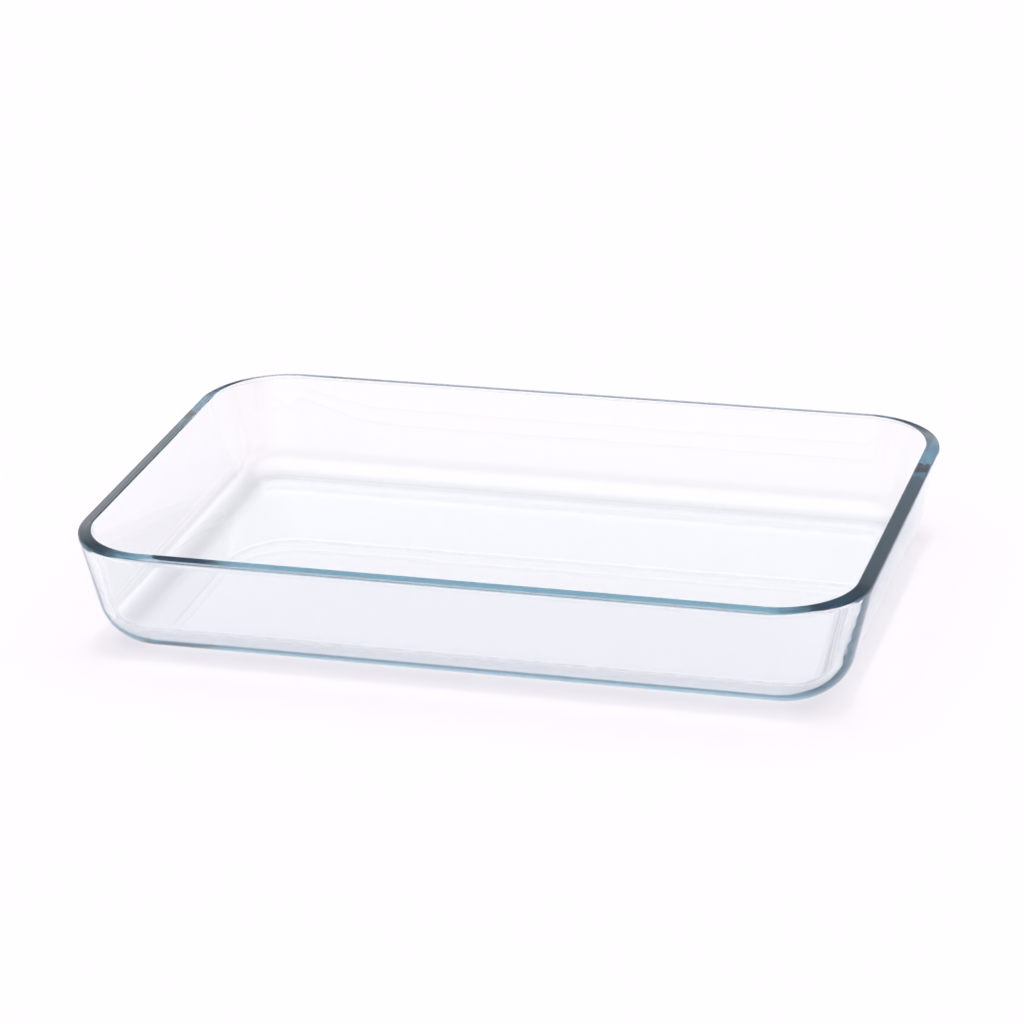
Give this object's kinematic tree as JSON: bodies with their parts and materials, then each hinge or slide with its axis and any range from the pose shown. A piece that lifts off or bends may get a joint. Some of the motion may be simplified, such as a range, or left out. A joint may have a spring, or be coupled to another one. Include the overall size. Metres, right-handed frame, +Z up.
{
  "type": "rectangular glass baking dish",
  "caption": "Rectangular clear glass baking dish with rounded corners, sloping walls, a thick polished rim, soft heel and flat underside.",
  "frame": {"origin": "centre of the flat underside, on the surface that the dish stands on", "axes": "+X along the length, +Y along the width, +Z up, out of the mouth"},
  "size_m": [0.4, 0.257, 0.0588],
  "materials": {
    "clear_glass": "pressed borosilicate glass, fire-polished, clear with blue-green edges"
  },
  "bodies": {
    "root": {"glass_dish": "clear_glass"}
  },
  "joints": []
}
